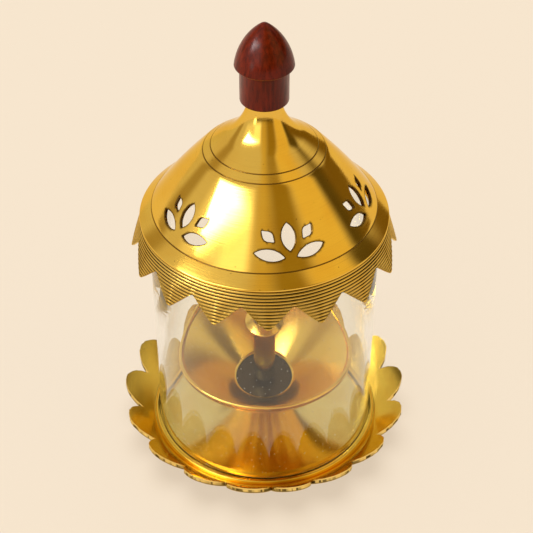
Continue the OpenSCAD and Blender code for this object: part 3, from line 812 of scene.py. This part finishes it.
def dome():
    """The dome: lip, brim and cone with its leaves, then the grooved shoulder, the flare and the neck."""
    shoulder_ease_in, shoulder_ease_up = 0.15, 0.1
    brim_in = inset(BRIM_P, BRIM_SLOPE, DOME_T)
    cone_in = inset(KNEE_P, CONE_SLOPE, DOME_T)
    shoulder_in = inset(SHOULDER_P, SHOULDER_SLOPE, DOME_T)
    knee_in = meet(brim_in, BRIM_SLOPE, cone_in, CONE_SLOPE)
    bend_in = meet(cone_in, CONE_SLOPE, shoulder_in, SHOULDER_SLOPE)
    land_r = BRIM_R - LAND_W

    def flare(depth, z_top):
        """The concave sweep from the shoulder up the neck to a height, drawn in by a depth."""
        corner = fall(SHOULDER_P, SHOULDER_SLOPE, NECK_R)
        centre = (corner[0] + FLARE_R, corner[1] + FLARE_R * math.tan(math.radians(45 - SHOULDER_SLOPE / 2)))
        sweep = FLARE_R + depth
        top = 180 + math.degrees(math.asin((centre[1] - z_top) / sweep))
        return arc(centre, sweep, 270 - SHOULDER_SLOPE, top, steps=32)

    lower = [up_cone(BAND_LOW, 0)] + groove(KNEE_P, 180 - CONE_SLOPE, 360 - BRIM_SLOPE)
    lower += arc(LIP_C, LIP_R, 90 - BRIM_SLOPE, -90, steps=14)
    lower += [(land_r, Z_FLANGE_TOP), fall(brim_in, BRIM_SLOPE, land_r), knee_in, up_cone(BAND_LOW, DOME_T)]
    upper = [up_cone(BAND_HIGH, 0), (SHOULDER_P[0] - shoulder_ease_in, SHOULDER_P[1] + shoulder_ease_up)]
    for distance in GROOVE_IN:
        spot = fall(SHOULDER_P, SHOULDER_SLOPE, SHOULDER_P[0] - distance)
        upper += reversed(groove(spot, 180 - SHOULDER_SLOPE, 360 - SHOULDER_SLOPE))
    hole = SCREW_R + HOLE_GAP
    upper += flare(0, Z_NECK) + [(hole, Z_NECK), (hole, Z_NECK - NECK_CAP)]
    upper += reversed(flare(DOME_T, Z_NECK - NECK_CAP))
    upper += [bend_in, up_cone(BAND_HIGH, DOME_T)]
    bm = bmesh.new()
    turned(bm, lambda angle: lower, DOME_SEGMENTS, closed=False)
    turned(bm, lambda angle: upper, DOME_SEGMENTS, closed=False)
    pierced_band(bm)
    return piece("pierced_dome", bm, "canopy", [dome_brass], "canopy_dome", sharp=32)


def skirt():
    """The skirt: a ribbed, toothed band under a flange that lies on the glass."""
    rows, tooth_columns, sharpness, rib_power, rib_sink = 96, 32, 0.97, 0.8, 0.6
    edge_in, edge_up, outer_ease, inner_ease = 0.02, 0.12, 0.12, 0.1
    top_r = GLASS_R + SKIRT_GAP + SKIRT_T
    drop_all = Z_FLANGE_TOP - Z_SKIRT_TIP
    lean = (SKIRT_TIP_R - top_r) / drop_all
    pitch = drop_all / RIDGE_COUNT
    inner_top = GLASS_R + SKIRT_GAP + FLANGE_T * lean

    def drop_at(angle):
        """Length of the skirt at an angle: a triangle wave with softened points."""
        wave = math.cos(math.radians((angle - TOOTH_TURN) * TOOTH_COUNT))
        return drop_all - TOOTH_H * (0.5 - 0.5 * math.asin(sharpness * wave) / math.asin(sharpness))

    def outline(angle):
        full = drop_at(angle)
        face = []
        for k in range(rows + 1):
            drop = full * k / rows
            swell = abs(math.sin(math.pi * drop / pitch)) ** rib_power
            r = top_r - RIDGE_H * rib_sink + RIDGE_H * swell + drop * lean
            # Painted shade, with some tarnish: the rib valleys are drawn dark, the crests bright
            face.append((r, Z_FLANGE_TOP - drop, 1 - swell ** 2))
        end_r = top_r + full * lean
        z = Z_FLANGE_TOP - full
        end = [(end_r - edge_in, z + edge_up), (end_r - outer_ease, z),
               (end_r - SKIRT_T + inner_ease, z), (end_r - SKIRT_T, z + inner_ease)]
        return face[:-1] + end + [
            (inner_top, Z_GLASS_TOP), (GLASS_R - FLANGE_IN, Z_GLASS_TOP), (GLASS_R - FLANGE_IN, Z_FLANGE_TOP)]

    bm = bmesh.new()
    turned(bm, outline, TOOTH_COUNT * tooth_columns)
    return piece("toothed_skirt", bm, "canopy", [ribbed_brass], "canopy_skirt", sharp=40)


def finial():
    """The wooden finial: a round-footed neck under a domed head with a worn edge."""
    crease_low, crease_high, crease_out, crease_age = 0.25, 0.05, 0.1, 0.6
    rim_in, rim_low, rim_age = 0.08, 0.2, 0.3
    tip_turn, tip_low = 1.5, 0.1
    z_head = Z_NECK + KNOB_NECK_H
    rim, tip = (KNOB_R, z_head + KNOB_RIM), (KNOB_TIP, Z_KNOB_TIP)
    centre = arc_centre(rim, tip, KNOB_CURVE)
    head = arc(centre, KNOB_CURVE, heading(centre, rim), heading(centre, tip) - tip_turn, steps=40)
    foot = arc((KNOB_NECK_R - KNOB_FOOT, Z_NECK + KNOB_FOOT), KNOB_FOOT, -90, 0, steps=6)
    outline = [(0, Z_NECK)] + foot
    outline += [(KNOB_NECK_R, z_head - crease_low),
                (KNOB_NECK_R + crease_out, z_head - crease_high, crease_age),
                (KNOB_R - KNOB_RIM, z_head, crease_age), (KNOB_R - rim_in, rim[1] - rim_low, rim_age)]
    outline += head + [(KNOB_TIP / 2, Z_KNOB_TIP - tip_low), (0, Z_KNOB_TIP)]
    return lathe("turned_finial", outline, "canopy", [wood], "finial", segments=128)


lotus_dish = dish()
pedestal()
oil_bowl()
wick_tube()
drip_collar()
cotton_wick()
chimney()
dome()
skirt()
finial()
for fastener in ("finial_screw", "finial_washer", "tie_bolt", "tie_washer"):
    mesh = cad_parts[fastener].data
    mesh.materials.clear()
    mesh.materials.append(plated_steel)

# Studio
BEIGE = (0.888, 0.768, 0.624)
LIGHT_AIM = Vector((0, 0, 0.08))


def toward(azimuth, elevation):
    """The direction at an azimuth and an elevation, in degrees, as the lamp sees it."""
    a, e = math.radians(azimuth), math.radians(elevation)
    return Vector((math.sin(a) * math.cos(e), -math.cos(a) * math.cos(e), math.sin(e)))


def light_from(name, azimuth, elevation, roll, wide, tall, soft, radiance, distance=2.5):
    """A softbox that faces the lamp and fades at its edges, its sizes in degrees as the lamp sees them."""
    lamp = bpy.data.lights.new(name, "AREA")
    lamp.shape = "RECTANGLE"
    lamp.size = 2 * distance * math.tan(math.radians(wide / 2))
    lamp.size_y = 2 * distance * math.tan(math.radians(tall / 2))
    lamp.energy = radiance * math.pi * lamp.size * lamp.size_y
    lamp.use_nodes = True
    g = Graph(name, lamp.node_tree)
    spot = g.node("ShaderNodeSeparateXYZ", {0: g.node("ShaderNodeNewGeometry").outputs["Parametric"]}).outputs
    across = (spot[1], g.math("SUBTRACT", g.math("SUBTRACT", 1.0, spot[0]), spot[1]))
    off = [g.math("ABSOLUTE", g.math("SUBTRACT", way, 0.5)) for way in across]
    fades = [g.fade(way, 0.5 - soft, 0.5, 1.0, 0.0) for way in off]
    glow = g.node("ShaderNodeEmission", {"Strength": g.math("MULTIPLY", *fades)})
    g.node("ShaderNodeOutputLight", {"Surface": glow.outputs[0]})
    obj = bpy.data.objects.new(name, lamp)
    way = toward(azimuth, elevation)
    obj.location = way * distance + LIGHT_AIM
    obj.rotation_mode = "QUATERNION"
    obj.rotation_quaternion = way.to_track_quat("Z", "Y") @ Quaternion((0, 0, 1), math.radians(roll))
    obj.visible_camera = False
    bpy.context.scene.collection.objects.link(obj)
    return obj


def studio():
    """Walls of light and shade that the brass mirrors; seen directly, they are the plain backdrop."""
    world = bpy.data.worlds.new("studio")
    bpy.context.scene.world = world
    world.use_nodes = True
    g = Graph("studio", world.node_tree)
    way = g.node("ShaderNodeSeparateXYZ", {0: g.node("ShaderNodeTexCoord").outputs["Generated"]}).outputs
    azimuth = g.math("DEGREES", g.math("ARCTAN2", way[0], g.math("MULTIPLY", way[1], -1.0)))
    elevation = g.math("DEGREES", g.math("ARCSINE", way[2]))
    panels = (
        # centre, half width, lowest, highest, softness, colour
        (-115, 8, -30, 45, 5, (0.45, 0.36, 0.20)),
        (-60, 26, 6, 36, 6, (1.05, 1.00, 0.92)),
        (-31, 15, 8, 46, 7, (1.70, 1.62, 1.45)),
        (0, 13, -30, 80, 10, (0.70, 0.55, 0.22)),
        (29, 20, -30, 76, 12, (0.36, 0.25, 0.04)),
        (70, 21, -30, 76, 9, (0.90, 0.70, 0.26)),
        (103, 13, -30, 40, 6, (0.11, 0.08, 0.02)),
        (0, 46, -30, 5, 6, (0.10, 0.07, 0.025)),
        (136, 30, -16, 20, 8, (0.20, 0.125, 0.02)),
        (-49, 6, -34, 8, 4, (4.00, 3.85, 3.50)),
    )
    colour = (0.75, 0.69, 0.59)
    for centre, half, low, high, soft, tone in panels:
        away = g.math("ABSOLUTE", g.math("WRAP", g.math("SUBTRACT", azimuth, float(centre)), 180.0, -180.0))
        mask = g.fade(away, half - soft, half + soft, 1.0, 0.0)
        mask = g.math("MULTIPLY", mask, g.fade(elevation, low - soft, low + soft))
        mask = g.math("MULTIPLY", mask, g.fade(elevation, high - soft, high + soft, 1.0, 0.0))
        colour = g.mix(mask, colour, tone)
    path = g.node("ShaderNodeLightPath").outputs
    direct = g.math("MULTIPLY", g.math("LESS_THAN", path["Glossy Depth"], 0.5),
                    g.math("LESS_THAN", path["Diffuse Depth"], 0.5))
    background = g.node("ShaderNodeBackground", {"Color": g.mix(direct, colour, BEIGE), "Strength": 1.0})
    g.node("ShaderNodeOutputWorld", {"Surface": background.outputs[0]})


def linked(name, obj, state):
    """A collection that ties one object to a light, or keeps it from that light."""
    group = bpy.data.collections.new(name)
    group.objects.link(obj)
    group.collection_objects[0].light_linking.link_state = state
    return group


def floor():
    """A pale plain table: mostly bright by itself, and lit just enough to keep a soft shadow."""
    reach, sink, lit, own = 12, 0.05, 0.25, 0.66
    bm = bmesh.new()
    bmesh.ops.create_grid(bm, x_segments=2, y_segments=2, size=reach)
    mesh = bpy.data.meshes.new("table")
    bm.to_mesh(mesh)
    bm.free()
    obj = bpy.data.objects.new("table", mesh)
    obj.location.z = -sink * MM
    bpy.context.scene.collection.objects.link(obj)
    g = Graph("table")
    path = g.node("ShaderNodeLightPath").outputs
    shown = g.math("SUBTRACT", 1.0, path["Is Diffuse Ray"])
    paint = g.node("ShaderNodeBsdfDiffuse", {"Color": (*(c * lit for c in BEIGE), 1)})
    glow = g.node("ShaderNodeEmission", {"Color": (*BEIGE, 1), "Strength": g.math("MULTIPLY", shown, own)})
    both = g.node("ShaderNodeAddShader", {0: paint.outputs[0], 1: glow.outputs[0]})
    mesh.materials.append(g.finish(both.outputs[0]))
    return obj


def shade_light():
    """A broad overhead sun that gives the table the dish's soft shadow and nothing else."""
    lamp = bpy.data.lights.new("table_sun", "SUN")
    lamp.energy, lamp.angle = 2.6, math.radians(50)
    obj = bpy.data.objects.new("table_sun", lamp)
    obj.rotation_mode = "QUATERNION"
    obj.rotation_quaternion = toward(azimuth=-150, elevation=82).to_track_quat("Z", "Y")
    bpy.context.scene.collection.objects.link(obj)
    return obj


def camera():
    """The camera that was fitted to the lamp's circles, its place and aim in metres."""
    place, aim = Vector((0, -0.3787, 0.3859)), Vector((0, 0, 0.0729))
    data = bpy.data.cameras.new("camera")
    data.lens, data.sensor_width, data.shift_x = 93.19, 36, 0.00394
    data.clip_start, data.clip_end = 0.01, 50
    obj = bpy.data.objects.new("camera", data)
    obj.location = place
    obj.rotation_mode = "QUATERNION"
    obj.rotation_quaternion = (aim - place).to_track_quat("-Z", "Y")
    bpy.context.scene.collection.objects.link(obj)
    bpy.context.scene.camera = obj


studio()
table = floor()
key = light_from("key_softbox", azimuth=-49, elevation=46, roll=30, wide=56, tall=27, soft=0.3, radiance=15.0)
key.light_linking.receiver_collection = linked("key_receivers", table, "EXCLUDE")
sun = shade_light()
sun.light_linking.receiver_collection = linked("sun_receivers", table, "INCLUDE")
sun.light_linking.blocker_collection = linked("sun_blockers", lotus_dish, "INCLUDE")
camera()
bpy.context.scene.view_settings.view_transform = "Standard"
light_paths = bpy.context.scene.cycles
light_paths.max_bounces, light_paths.glossy_bounces, light_paths.transmission_bounces = 40, 24, 24
